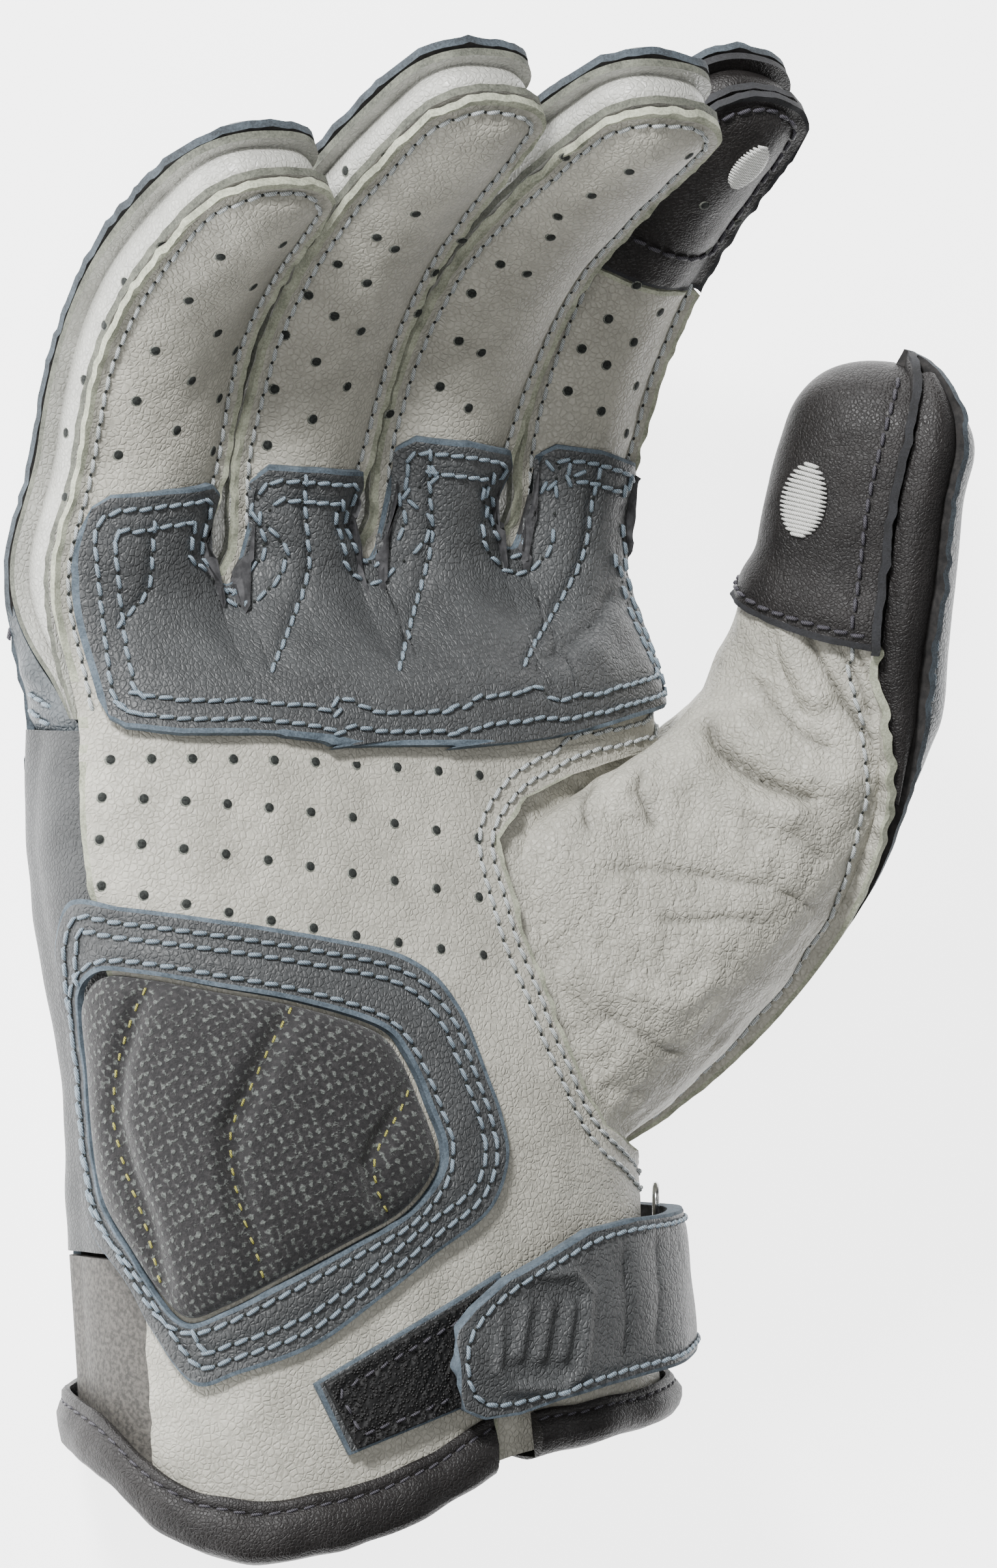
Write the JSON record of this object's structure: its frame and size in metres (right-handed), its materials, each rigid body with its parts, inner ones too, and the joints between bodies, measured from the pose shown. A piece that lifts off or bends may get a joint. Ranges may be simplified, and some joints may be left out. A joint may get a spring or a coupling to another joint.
{
  "type": "motorcycle glove",
  "caption": "Right-hand short-cuff motorcycle glove in perforated light leather with a grey palm overlay, quilted heel pad, black fingertip caps and a hook-and-loop wrist strap, lying palm up.",
  "frame": {"origin": "middle of the footprint, on the surface the glove lies on", "axes": "+X towards the thumb, +Y towards the fingertips, +Z out of the palm"},
  "size_m": [0.1372, 0.2194, 0.0815],
  "materials": {
    "light_leather": "matt fine-grained goatskin, perforated",
    "grey_leather": "matt grained leather",
    "dark_leather": "matt grained leather",
    "black_leather": "soft black leather",
    "knit": "speckled padded knit",
    "stretch": "speckled stretch cloth",
    "tape": "hook and loop tape",
    "thread": "embroidery thread",
    "steel": "polished steel"
  },
  "bodies": {
    "root": {"palm_panel": "light_leather", "back_panel": "dark_leather", "index_tip_cap": "black_leather", "side_band_little": "light_leather", "side_band_ring": "light_leather", "side_band_middle": "light_leather", "side_band_index_inner": "light_leather", "side_band_index_outer": "light_leather", "index_tip_band": "black_leather", "side_panel": "grey_leather", "knuckle_gusset": "dark_leather", "thumb_panel": "light_leather", "thumb_tip_cap": "black_leather", "thumb_back": "dark_leather", "thumb_side_strip": "black_leather", "palm_overlay": "grey_leather", "heel_frame": "grey_leather", "heel_pad": "knit", "cuff_strip": "stretch", "cuff_flap": "light_leather", "cuff_binding": "black_leather", "flap_binding": "black_leather", "loop_backing": "grey_leather", "loop_patch": "tape", "wrist_strap": "grey_leather", "strap_hook": "tape", "index_touch_mark": "thread", "thumb_touch_mark": "thread", "strap_ring": "steel"}
  },
  "joints": []
}
